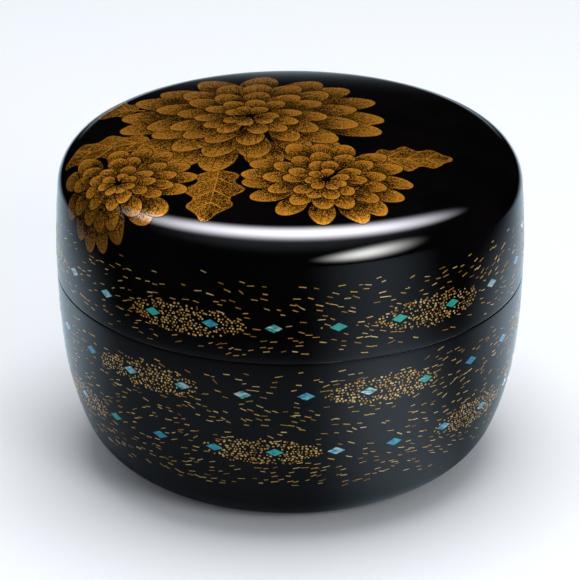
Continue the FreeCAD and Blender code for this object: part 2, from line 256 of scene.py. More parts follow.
@dataclass(frozen=True)
class GoldFoil:
    """Cut gold foil laid fleck by fleck: brighter than the powder, from pale to copper."""

    copper: str = "#966628"
    full: str = "#E0B05A"
    pale: str = "#F6E4AE"
    crease: float = 0.3

    def material(self) -> bpy.types.Material:
        """Make the foil, with each fleck's own tone and creases finer than a fleck.

        Returns:
            The new material.
        """
        material, tree = new_material("cut_gold_foil")
        place = add_node(tree, "ShaderNodeTexCoord")
        creases = add_node(tree, "ShaderNodeTexNoise", {
            "Vector": place.outputs["Object"], "Scale": per_metre(self.crease), "Detail": 2.0})
        tone = add_node(tree, "ShaderNodeAttribute", attribute_name="tone")
        mixed = add_node(tree, "ShaderNodeMath", {
            0: creases.outputs["Fac"], 1: 0.5, 2: tone.outputs["Fac"]}, operation="MULTIPLY_ADD")
        colour = add_node(tree, "ShaderNodeValToRGB", {"Fac": mixed.outputs[0]})
        set_ramp(colour.color_ramp, [(0.2, self.copper), (0.6, self.full), (1.0, self.pale)])
        rough = add_node(tree, "ShaderNodeMapRange", {
            "Value": creases.outputs["Fac"], "To Min": 0.3, "To Max": 0.5})
        shader = add_node(tree, "ShaderNodeBsdfPrincipled", {
            "Base Color": colour.outputs["Color"], "Metallic": 0.6, "Roughness": rough.outputs["Result"],
            "Specular IOR Level": 0.0, **CLEAR_COAT})
        add_node(tree, "ShaderNodeOutputMaterial", {"Surface": shader.outputs["BSDF"]})
        return material


@dataclass(frozen=True)
class MotherOfPearl:
    """Thin abalone shell, ground flat: teal, green and blue bands with pale pink, under gloss."""

    band: float = 1.1
    stops: tuple = ((0.0, "#1E8F93"), (0.28, "#3FB79A"), (0.5, "#2F6FB0"),
                    (0.72, "#7FC7C4"), (0.86, "#E6D3DA"), (1.0, "#2AA2A0"))

    def material(self) -> bpy.types.Material:
        """Make the shell, whose bands start from each chip's own tone.

        Returns:
            The new material.
        """
        material, tree = new_material("abalone_shell")
        place = add_node(tree, "ShaderNodeTexCoord")
        stretch = add_node(tree, "ShaderNodeMapping", {
            "Vector": place.outputs["Object"], "Scale": (1.0, 1.0, 2.6)})
        bands = add_node(tree, "ShaderNodeTexNoise", {
            "Vector": stretch.outputs["Vector"], "Scale": per_metre(self.band), "Detail": 2.0})
        tone = add_node(tree, "ShaderNodeAttribute", attribute_name="tone")
        shift = add_node(tree, "ShaderNodeMath", {
            0: bands.outputs["Fac"], 1: 0.9, 2: tone.outputs["Fac"]}, operation="MULTIPLY_ADD")
        wrap = add_node(tree, "ShaderNodeMath", {0: shift.outputs[0]}, operation="FRACT")
        colour = add_node(tree, "ShaderNodeValToRGB", {"Fac": wrap.outputs[0]})
        set_ramp(colour.color_ramp, list(self.stops))
        rough = add_node(tree, "ShaderNodeMapRange", {
            "Value": bands.outputs["Fac"], "To Min": 0.22, "To Max": 0.42})
        shader = add_node(tree, "ShaderNodeBsdfPrincipled", {
            "Base Color": colour.outputs["Color"], "Metallic": 0.35, "Roughness": rough.outputs["Result"],
            "Thin Film Thickness": 420.0, "Thin Film IOR": 1.36, **CLEAR_COAT})
        add_node(tree, "ShaderNodeOutputMaterial", {"Surface": shader.outputs["BSDF"]})
        return material


@dataclass(frozen=True)
class TurnedWood:
    """Horse chestnut turned thin on the lathe: pale, fine pored, with soft growth bands along the grain."""

    band: float = 3.2
    pore: float = 0.35
    stops: tuple = ((0.3, "#B98E5E"), (0.5, "#D8B486"), (0.7, "#C79D6B"))

    def material(self) -> bpy.types.Material:
        """Make the wood, with grain upright as in a blank cut along the trunk.

        Returns:
            The new material.
        """
        material, tree = new_material("turned_horse_chestnut")
        place = add_node(tree, "ShaderNodeTexCoord")
        along = add_node(tree, "ShaderNodeMapping", {
            "Vector": place.outputs["Object"], "Scale": (1.0, 1.0, 0.12)})
        growth = add_node(tree, "ShaderNodeTexNoise", {
            "Vector": along.outputs["Vector"], "Scale": per_metre(self.band), "Detail": 4.0})
        pores = add_node(tree, "ShaderNodeTexNoise", {
            "Vector": along.outputs["Vector"], "Scale": per_metre(self.pore), "Detail": 1.0})
        colour = add_node(tree, "ShaderNodeValToRGB", {"Fac": growth.outputs["Fac"]})
        set_ramp(colour.color_ramp, list(self.stops))
        rough = add_node(tree, "ShaderNodeMapRange", {
            "Value": pores.outputs["Fac"], "To Min": 0.5, "To Max": 0.75})
        bump = add_node(tree, "ShaderNodeBump", {
            "Height": pores.outputs["Fac"], "Strength": 0.3, "Distance": 0.05 * MM})
        shader = add_node(tree, "ShaderNodeBsdfPrincipled", {
            "Base Color": colour.outputs["Color"], "Roughness": rough.outputs["Result"],
            "Normal": bump.outputs["Normal"]})
        add_node(tree, "ShaderNodeOutputMaterial", {"Surface": shader.outputs["BSDF"]})
        return material


@dataclass(frozen=True)
class Finishes:
    """Made materials, by what they finish."""

    lacquer: bpy.types.Material
    powder: bpy.types.Material
    foil: bpy.types.Material
    shell: bpy.types.Material
    wood: bpy.types.Material


def write_mesh(name: str, points: np.ndarray, quads: np.ndarray, tris: np.ndarray | None = None,
               values: dict[str, np.ndarray] | None = None) -> bpy.types.Object:
    """Write arrays into a new smooth-shaded mesh object at the origin.

    Args:
        name: Name of the object and its mesh.
        points: Corners in millimetres, one row each.
        quads: Four corner numbers for each face.
        tris: Three corner numbers for each triangle, if there are any.
        values: Numbers for each corner, by the name of the attribute that holds them.

    Returns:
        The new object, linked to the scene.
    """
    tris = np.empty((0, 3), int) if tris is None else tris
    sizes = np.concatenate([np.full(len(quads), 4), np.full(len(tris), 3)])
    corners = np.concatenate([quads.ravel(), tris.ravel()])
    mesh = bpy.data.meshes.new(name)
    mesh.vertices.add(len(points))
    mesh.vertices.foreach_set("co", (points * MM).astype(np.float32).ravel())
    mesh.loops.add(len(corners))
    mesh.loops.foreach_set("vertex_index", corners.astype(np.int32))
    mesh.polygons.add(len(sizes))
    mesh.polygons.foreach_set("loop_start", (np.cumsum(sizes) - sizes).astype(np.int32))
    for attribute, numbers in (values or {}).items():
        layer = mesh.attributes.new(attribute, "FLOAT", "POINT")
        layer.data.foreach_set("value", numbers.astype(np.float32).ravel())
    mesh.update(calc_edges=True)
    mesh.shade_smooth()
    mesh.set_sharp_from_angle(angle=SHARP_ANGLE)
    piece = bpy.data.objects.new(name, mesh)
    bpy.context.scene.collection.objects.link(piece)
    return piece


def dress(piece: bpy.types.Object, material: bpy.types.Material, body: Ride, slot: Slot,
          *nodes: str) -> bpy.types.Object:
    """Give a piece its finish, its body and the CAD nodes it stands for.

    Args:
        piece: Object to dress.
        material: Its finish.
        body: CAD body that it moves with.
        slot: Material slot of the record; not used.
        nodes: CAD nodes that it replaces.

    Returns:
        The piece.
    """
    piece.data.materials.append(material)
    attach(piece, body.value)
    if nodes:
        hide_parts(*nodes)
    LOG.info("%s: %d faces on %s", piece.name, len(piece.data.polygons), body.value)
    return piece


@dataclass(frozen=True)
class Arc:
    """Circle in the half section, by its centre's distance from the axis, its height and its radius."""

    r: float
    z: float
    radius: float

    def inset(self, depth: float) -> "Arc":
        """Circle about the same centre, smaller by depth."""
        return Arc(self.r, self.z, self.radius - depth)

    def angle(self, height: float) -> float:
        """Angle of the point at this height, on the side away from the axis."""
        return math.asin((height - self.z) / self.radius)

    def reach(self, height: float) -> float:
        """Distance from the axis of the point at this height."""
        return self.r + self.radius * math.cos(self.angle(height))

    def run(self, start: float, stop: float, count: int) -> np.ndarray:
        """Points along the circle: centre plus radius times (cosine, sine) of evenly spaced angles.

        Args:
            start: First angle in radians.
            stop: Last angle in radians.
            count: Number of points.

        Returns:
            Distance from the axis and height of each point, one row each.
        """
        angles = np.linspace(start, stop, count)
        return np.stack([self.r + self.radius * np.cos(angles),
                         self.z + self.radius * np.sin(angles)], axis=1)


def revolve(name: str, section: np.ndarray) -> bpy.types.Object:
    """Turn a half section about the axis into a closed coat.

    Every section point (r, z) goes to (r sin a, -r cos a, z) for all azimuths a. A section whose two ends
    lie on the axis closes in a fan at each end, any other one closes in a ring.

    Args:
        name: Name of the new object.
        section: Points with the solid on the left of the way along them, one row each.

    Returns:
        The new object.
    """
    azimuth = np.arange(AROUND) * FULL_TURN / AROUND
    to_axis = section[0, 0] == 0 and section[-1, 0] == 0
    rings = section[1:-1] if to_axis else section
    points = np.stack([rings[:, :1] * np.sin(azimuth), -rings[:, :1] * np.cos(azimuth),
                       np.repeat(rings[:, 1:], AROUND, axis=1)], axis=-1).reshape(-1, 3)
    number = np.arange(len(rings) * AROUND).reshape(len(rings), AROUND)
    following = np.roll(number, -1, axis=1)
    if not to_axis:
        number = np.vstack([number, number[:1]])
        following = np.vstack([following, following[:1]])
    quads = np.stack([number[:-1], following[:-1], following[1:], number[1:]], axis=-1).reshape(-1, 4)
    if not to_axis:
        return write_mesh(name, points, quads)
    poles = np.array([[0, 0, section[0, 1]], [0, 0, section[-1, 1]]])
    first = np.full(AROUND, len(points))
    fans = np.vstack([np.stack([first, following[0], number[0]], axis=1),
                      np.stack([number[-1], following[-1], first + 1], axis=1)])
    return write_mesh(name, np.vstack([points, poles]), quads, fans)


@dataclass(frozen=True)
class Steps:
    """Points along each run of the coats' sections, so many that no facet shows."""

    arris: int = 9
    tuck: int = 28
    belly: int = 20
    body_side: int = 20
    lid_side: int = 22
    shoulder: int = 56
    crown: int = 40
    ceiling: int = 24
    corner: int = 25
    cup_floor: int = 14
    cup_wall: int = 12
    bore: int = 8
    edge: int = 8
    foot_edge: int = 5
    underside: int = 16


STEPS = Steps()


@dataclass(frozen=True)
class CaddyForm:
    """Section of the caddy, from the sizes that drive the CAD model."""

    max_diameter: float = 82.0
    total_height: float = 60.2
    seam_height: float = 34.7
    widest_height: float = 37.8
    side_radius: float = 158.0
    side_foot_height: float = 21.5
    belly_radius: float = 50.0
    base_top_height: float = 8.1
    foot_slope: float = 16.0
    shoulder_radius: float = 7.2
    crown_radius: float = 230.0
    coat: float = 0.5
    inner_coat: float = 0.3
    floor_thickness: float = 2.8
    cup_corner_radius: float = 12.0
    collar_height: float = 6.0
    collar_wall: float = 1.7
    fit_clearance: float = 0.12
    edge_rounding: float = 0.4
    arris_radius: float = 0.22
    lid_rim_wall: float = 2.4
    crown_thickness: float = 2.2
    lid_corner_radius: float = 8.0

    @cached_property
    def side(self) -> Arc:
        """Slow upright curve that body and lid share."""
        return Arc(self.max_diameter / 2 - self.side_radius, self.widest_height, self.side_radius)

    @cached_property
    def side_low(self) -> float:
        """Angle at which the side hands over to the belly."""
        return self.side.angle(self.side_foot_height)

    @cached_property
    def belly(self) -> Arc:
        """Curve below the side, which runs into it without a kink.

        Returns:
            The belly's circle.
        """
        gap = self.side_radius - self.belly_radius
        return Arc(self.side.r + gap * math.cos(self.side_low),
                   self.side.z + gap * math.sin(self.side_low), self.belly_radius)

    @cached_property
    def belly_low(self) -> float:
        """Angle at which the belly hands over to the tuck above the foot."""
        return self.belly.angle(self.base_top_height)

    @cached_property
    def tuck(self) -> Arc:
        """Tight curve above the foot, which meets the foot plane at the foot's slope.

        Returns:
            The tuck's circle.
        """
        slope = math.cos(math.radians(self.foot_slope))
        radius = self.base_top_height / (slope + math.sin(self.belly_low))
        gap = self.belly_radius - radius
        return Arc(self.belly.r + gap * math.cos(self.belly_low), radius * slope, radius)

    @cached_property
    def crown(self) -> Arc:
        """Low dome of the lid, centred on the axis."""
        return Arc(0.0, self.total_height - self.crown_radius, self.crown_radius)

    @cached_property
    def shoulder(self) -> Arc:
        """Round that touches the side and the crown from inside: where two reaches from them cross.

        Returns:
            The shoulder's circle.
        """
        from_side = self.side_radius - self.shoulder_radius
        from_crown = self.crown_radius - self.shoulder_radius
        rise = self.crown.z - self.side.z
        gap = math.hypot(self.side.r, rise)
        share = (from_side ** 2 - from_crown ** 2 + gap ** 2) / (2 * gap)
        offset = math.sqrt(from_side ** 2 - share ** 2)
        return Arc(self.side.r - (share * self.side.r + offset * rise) / gap,
                   self.side.z + (share * rise - offset * self.side.r) / gap, self.shoulder_radius)

    @cached_property
    def shoulder_low(self) -> float:
        """Angle at which the side hands over to the shoulder."""
        return math.atan2(self.shoulder.z - self.side.z, self.shoulder.r - self.side.r)

    @cached_property
    def shoulder_top(self) -> float:
        """Angle at which the shoulder hands over to the crown."""
        return math.atan2(self.shoulder.z - self.crown.z, self.shoulder.r)

    @cached_property
    def bore_radius(self) -> float:
        """Inside radius of the lid at the seam."""
        return self.side.reach(self.seam_height) - self.lid_rim_wall

    @cached_property
    def collar_radius(self) -> float:
        """Outside radius of the collar."""
        return self.bore_radius - self.fit_clearance

    @cached_property
    def mouth_radius(self) -> float:
        """Inside radius of the collar."""
        return self.collar_radius - self.collar_wall

    def arris(self, depth: float, above: bool) -> np.ndarray:
        """Rounded outer edge at the seam: a small circle that touches the side and the seam plane.

        Args:
            depth: How far the side is inset.
            above: True for the lid's edge, False for the body's.

        Returns:
            Section points from the lower end to the upper one.
        """
        side = self.side.inset(depth)
        rise = self.arris_radius if above else -self.arris_radius
        height = self.seam_height + rise
        centre = Arc(side.inset(self.arris_radius).reach(height), height, self.arris_radius)
        touch = side.inset(self.arris_radius).angle(height)
        start, stop = (-math.pi / 2, touch) if above else (touch, math.pi / 2)
        return centre.run(start, stop, STEPS.arris)

    def body_flank(self, depth: float, bottom: float, top: float | None) -> np.ndarray:
        """Outside of the body from a height above the foot up to another, or up to its rounded edge.

        Args:
            depth: How far the flank is inset.
            bottom: Lowest height.
            top: Highest height, or None for the rounded edge at the seam.

        Returns:
            Section points upwards.
        """
        tuck, belly, side = (arc.inset(depth) for arc in (self.tuck, self.belly, self.side))
        edge = self.arris(depth, above=False)
        last = side.angle(edge[0, 1] if top is None else top)
        runs = [tuck.run(tuck.angle(bottom), self.belly_low, STEPS.tuck)[:-1],
                belly.run(self.belly_low, self.side_low, STEPS.belly)[:-1],
                side.run(self.side_low, last, STEPS.body_side)]
        return np.vstack(runs if top is not None else [*runs, edge[1:]])

    def lid_flank(self, depth: float, bottom: float | None) -> np.ndarray:
        """Outside of the lid from a height, or from its rounded edge at the seam, up to the axis.

        Args:
            depth: How far the flank is inset.
            bottom: Lowest height, or None for the rounded edge.

        Returns:
            Section points upwards, the last one on the axis.
        """
        side, shoulder, crown = (arc.inset(depth) for arc in (self.side, self.shoulder, self.crown))
        edge = self.arris(depth, above=True)
        first = side.angle(edge[-1, 1] if bottom is None else bottom)
        runs = [side.run(first, self.shoulder_low, STEPS.lid_side)[:-1],
                shoulder.run(self.shoulder_low, self.shoulder_top, STEPS.shoulder)[:-1],
                crown.run(self.shoulder_top, math.pi / 2, STEPS.crown)]
        runs[-1][-1, 0] = 0.0
        return np.vstack(runs if bottom is not None else [edge[:-1], *runs])

    def cup_lining(self, depth: float) -> np.ndarray:
        """Inside of the body from its upright wall down to the axis, depth behind the lacquer's face.

        Args:
            depth: Distance behind the lacquer's face.

        Returns:
            Section points downwards, the last one on the axis.
        """
        floor = self.coat + self.floor_thickness + self.inner_coat
        corner = Arc(self.mouth_radius - self.cup_corner_radius, floor + self.cup_corner_radius,
                     self.cup_corner_radius + depth)
        level = np.linspace([corner.r, floor - depth], [0, floor - depth], STEPS.cup_floor)
        return np.vstack([corner.run(0, -math.pi / 2, STEPS.corner), level[1:]])

    def lid_lining(self, depth: float) -> np.ndarray:
        """Inside of the lid from the axis down to its upright wall, depth behind the lacquer's face.

        Args:
            depth: Distance behind the lacquer's face.

        Returns:
            Section points downwards, the first one on the axis.
        """
        ceiling = self.crown.inset(self.coat + self.crown_thickness + self.inner_coat)
        reach = ceiling.radius - self.lid_corner_radius
        corner_r = self.bore_radius - self.lid_corner_radius
        corner = Arc(corner_r, ceiling.z + math.sqrt(reach ** 2 - corner_r ** 2),
                     self.lid_corner_radius + depth)
        turn = math.acos(corner_r / reach)
        ceiling = ceiling.inset(-depth)
        runs = [ceiling.run(math.pi / 2, turn, STEPS.ceiling)[:-1], corner.run(turn, 0, STEPS.corner)]
        runs[0][0, 0] = 0.0
        return np.vstack(runs)


class Flank:
    """The polished outside of the caddy as a table along the way from the crown's middle to the foot."""

    def __init__(self, form: CaddyForm, steps: int = 1500) -> None:
        """Sample the arcs from the crown down.

        Args:
            form: Section to sample.
            steps: Points on each arc.
        """
        pieces = [(form.crown, math.pi / 2, form.shoulder_top),
                  (form.shoulder, form.shoulder_top, form.shoulder_low),
                  (form.side, form.shoulder_low, form.side_low),
                  (form.belly, form.side_low, form.belly_low),
                  (form.tuck, form.belly_low, form.tuck.angle(0))]
        angles = np.concatenate([np.linspace(start, stop, steps) for _, start, stop in pieces])
        points = np.vstack([arc.inset(GOLD_ROOM).run(start, stop, steps) for arc, start, stop in pieces])
        self.r, self.z = points.T
        self.out, self.up = np.cos(angles), np.sin(angles)
        self.way = np.concatenate([[0], np.cumsum(np.hypot(*np.diff(points, axis=0).T))])

    def way_at(self, height: np.ndarray | float) -> np.ndarray:
        """Way down from the crown's middle to these heights."""
        return np.interp(-np.asarray(height), -self.z, self.way)

    def place(self, way: np.ndarray, azimuth: np.ndarray, lift: np.ndarray | float) -> np.ndarray:
        """Put points on the surface: go down the way, turn to the azimuth, step out along the normal.

        Args:
            way: Way down from the crown's middle.
            azimuth: Angle round the axis.
            lift: Height above the polished face.

        Returns:
            The points, in the shape of the arrays with an axis of 3 added.
        """
        r, z, out, up = (np.interp(way, self.way, table) for table in (self.r, self.z, self.out, self.up))
        reach = r + out * lift
        return np.stack([reach * np.sin(azimuth), -reach * np.cos(azimuth), z + up * lift], axis=-1)

    def lay_flat(self, east: np.ndarray, north: np.ndarray, lift: np.ndarray | float) -> np.ndarray:
        """Lay a flat drawing on the crown, each point as far from the middle and on the same bearing."""
        return self.place(np.hypot(east, north), np.arctan2(east, -north), lift)

    def patch(self, way: np.ndarray, azimuth: np.ndarray, across: np.ndarray, upward: np.ndarray,
              lift: np.ndarray | float) -> np.ndarray:
        """Lay small flat shapes on the surface, by offsets across and upwards from their middles."""
        radius = np.interp(way, self.way, self.r)[:, None, None]
        return self.place(way[:, None, None] - upward, azimuth[:, None, None] + across / radius, lift)


def disc_grid(rows: int, columns: int) -> tuple[np.ndarray, np.ndarray]:
    """Square grid drawn out to a unit disc: x = a sqrt(1 - b^2/2), y = b sqrt(1 - a^2/2).

    The lines crowd towards the rim, because a and b are sines of even steps.

    Args:
        rows: Points along y.
        columns: Points along x.

    Returns:
        x and y by rows and columns.
    """
    a, b = np.meshgrid(np.sin(np.linspace(-math.pi / 2, math.pi / 2, columns)),
                       np.sin(np.linspace(-math.pi / 2, math.pi / 2, rows)))
    return a * np.sqrt(1 - b * b / 2), b * np.sqrt(1 - a * a / 2)


def rim_distance(points: np.ndarray, outline: np.ndarray) -> np.ndarray:
    """Shortest distance from each point of a flat grid to the points of its outline."""
    return np.linalg.norm(points[..., None, :] - outline[..., None, None, :, :], axis=-1).min(axis=-1)


def grid_faces(rows: int, columns: int) -> np.ndarray:
    """Four corner numbers for each face of a grid whose points are numbered row by row."""
    grid = np.arange(rows * columns).reshape(rows, columns)
    return np.stack([grid[:-1, :-1], grid[:-1, 1:], grid[1:, 1:], grid[1:, :-1]], axis=-1).reshape(-1, 4)


def slabs(top: np.ndarray, bottom: np.ndarray) -> tuple[np.ndarray, np.ndarray]:
    """Close pairs of grids into thin slabs: upper face, lower face and a wall round the rim.

    Args:
        top: Upper points for each slab by rows and columns, rows upwards and columns to the right.
        bottom: Lower points, in the same shape.

    Returns:
        All points, upper ones first in each slab, and four corner numbers for each face.
    """
    count, rows, columns, _ = top.shape
    size = rows * columns
    grid = np.arange(size).reshape(rows, columns)
    upper = grid_faces(rows, columns)
    rim = np.concatenate([grid[0], grid[1:, -1], grid[-1, -2::-1], grid[-2:0:-1, 0]])
    ahead = np.roll(rim, -1)
    walls = np.stack([rim, rim + size, ahead + size, ahead], axis=-1)
    one = np.vstack([upper, upper[:, ::-1] + size, walls])
    quads = (one[None] + 2 * size * np.arange(count)[:, None, None]).reshape(-1, 4)
    points = np.concatenate([top.reshape(count, size, 3), bottom.reshape(count, size, 3)], axis=1)
    return points.reshape(-1, 3), quads


def both_faces(numbers: np.ndarray) -> np.ndarray:
    """Repeat numbers of the upper grids on the lower ones, in the order of the slabs' points."""
    flat = numbers.reshape(len(numbers), -1)
    return np.concatenate([flat, flat], axis=1).ravel()


@dataclass(frozen=True)
class ShellRing:
    """Ring of shell lozenges let into the lacquer."""

    name: str
    node: str
    body: Ride
    height: float
    turn: float
    seed: int
    count: int = 24
    width: float = 3.0
    tall: float = 1.5
    depth: float = 0.3
    proud: float = 0.02
    grid: int = 7

    @property
    def azimuths(self) -> np.ndarray:
        """Azimuth of each lozenge's middle."""
        return FULL_TURN * np.arange(self.count) / self.count + math.radians(self.turn)

    def build(self, flank: Flank, material: bpy.types.Material) -> bpy.types.Object:
        """Make the chips: a square grid turned onto its corner, (b - a, b + a) / 2 of the half sizes.

        Args:
            flank: Surface to follow.
            material: Shell finish.

        Returns:
            The new object.
        """
        even = np.linspace(-1, 1, self.grid)
        b, a = np.meshgrid(even, even)
        shape = (self.count, self.grid, self.grid)
        across = np.broadcast_to((b - a) / 2 * self.width / 2, shape)
        upward = np.broadcast_to((b + a) / 2 * self.tall / 2, shape)
        way = np.full(self.count, flank.way_at(self.height))
        top = flank.patch(way, self.azimuths, across, upward, self.proud)
        bottom = flank.patch(way, self.azimuths, across, upward, self.proud - self.depth)
        points, quads = slabs(top, bottom)
        tones = np.random.default_rng(self.seed).random(self.count)
        tone = both_faces(np.broadcast_to(tones[:, None, None], shape))
        piece = write_mesh(self.name, points, quads, values={"tone": tone})
        return dress(piece, material, self.body, Slot.SHELL, self.node)


@dataclass(frozen=True)
class Petals:
    """One round of a bloom's petals: base and tip by shares of its radius, shade by one of the petal.

    Shade is the share along the petal where its painted shade ends.
    """

    base: float
    tip: float
    count: int
    shade: float


@dataclass(frozen=True)
class Bloom:
    """Chrysanthemum in sprinkled gold, drawn flat and laid on the crown, with shade and highlight painted
    into its powder.

    Petals stray from an even round by normal chance: in heading by so many radians over their count, in
    length and bend by shares of their own length, and in powder by a share of it.
    """

    name: str
    centre: tuple[float, float]
    radius: float
    rounds: tuple[Petals, ...]
    lift: float
    seed: int
    grid: tuple[int, int] = (33, 17)
    step: float = 0.01
    overlap: float = 1.06
    widest: float = 0.7
    base_powder: float = 0.14
    tip_powder: float = 0.74
    shaded_powder: float = 0.22
    edge_powder: float = 0.25
    edge_width: float = 0.5
    furrows: float = 5.0
    stray_heading: float = 0.9
    stray_length: float = 0.03
    stray_bend: float = 0.05
    stray_powder: float = 0.07

    def outline(self, petals: Petals, x: np.ndarray, y: np.ndarray) -> tuple[np.ndarray, np.ndarray]:
        """Draw a disc out into an egg: half its width at the base, full from three quarters of the way on.

        Args:
            petals: Round that the petal is in.
            x: Across the unit disc.
            y: Along the unit disc, from base to tip.

        Returns:
            Millimetres across the petal, and along it from the bloom's middle.
        """
        base, tip = petals.base * self.radius, petals.tip * self.radius
        t = (y + 1) / 2
        half = self.overlap * math.pi * (base + (tip - base) * self.widest) / petals.count
        return half * x * (0.5 + 0.5 * smoothstep(0.0, 0.75, t)), base + (tip - base) * t

    def rim(self, petals: Petals, x: np.ndarray, y: np.ndarray) -> np.ndarray:
        """Millimetres from each grid point to the petal's outline."""
        edge = np.stack(self.outline(petals, np.cos(OUTLINE_TURNS), np.sin(OUTLINE_TURNS)), axis=-1)
        return rim_distance(np.stack(self.outline(petals, x, y), axis=-1), edge)

    def build(self, flank: Flank, material: bpy.types.Material) -> bpy.types.Object:
        """Make all petals as thin slabs, each round a step above the one outside it.

        Powder thickens from a petal's shade line to its tip, painting shade at the base under the round
        inside it;
        it thickens along the edge, in part a painted highlight, and thins on the right as painted shade.

        Args:
            flank: Surface to follow.
            material: Gold finish.

        Returns:
            The new object.
        """
        random = np.random.default_rng(self.seed)
        x, y = disc_grid(*self.grid)
        t = (y + 1) / 2
        tops, bottoms, powders, rims, stripes = [], [], [], [], []
        for layer, petals in enumerate(self.rounds):
            shape = (petals.count, 1, 1)
            angle = FULL_TURN * (np.arange(petals.count).reshape(shape) + 0.5 * layer) / petals.count
            angle = angle + random.normal(0, self.stray_heading / petals.count, shape)
            length = 1 + random.normal(0, self.stray_length, shape)
            bend = random.normal(0, self.stray_bend, shape) * self.radius * (petals.tip - petals.base)
            across, along = self.outline(petals, x, y)
            across = across + bend * t * t
            along = along * length
            east = self.centre[0] + along * np.cos(angle) + across * np.sin(angle)
            north = self.centre[1] + along * np.sin(angle) - across * np.cos(angle)
            order = np.arange(petals.count) % 2
            order[-1] += petals.count % 2
            lift = self.lift + self.step * layer + 0.4 * self.step * order.reshape(shape)
            tops.append(flank.lay_flat(east, north, lift))
            bottoms.append(flank.lay_flat(east, north, -ROOT_DEPTH))
            rim = np.broadcast_to(self.rim(petals, x, y), across.shape)
            # Painted shade: powder is thin at each petal's base, under the round inside it, and fills in
            # towards the tip.
            glow = self.base_powder + self.tip_powder * smoothstep(petals.shade, 1.0, t)
            # Painted shade: powder thins on each petal's right side, most towards its base.
            side = self.shaded_powder * smoothstep(-0.4, 1.0, x) * (1 - 0.5 * t)
            # Denser gold along the outline, in part a painted highlight on the petal's rim.
            edge = self.edge_powder * np.exp(-(rim / self.edge_width) ** 2)
            powders.append((glow - side + edge) * (1.0 + random.normal(0, self.stray_powder, shape)))
            rims.append(rim)
            stripes.append(np.broadcast_to(self.furrows * x, across.shape))
        points, quads = slabs(np.concatenate(tops), np.concatenate(bottoms))
        values = {name: both_faces(np.concatenate(rows))
                  for name, rows in (("powder", powders), ("rim", rims), ("stripe", stripes))}
        piece = write_mesh(self.name, points, quads, values=values)
        return dress(piece, material, Ride.LID, Slot.GOLD)


@dataclass(frozen=True)
class Leaf:
    """Place and size of one leaf: its base on the flat crown, its heading in degrees and its bow."""

    base: tuple[float, float]
    heading: float
    length: float
    half_width: float
    bow: float


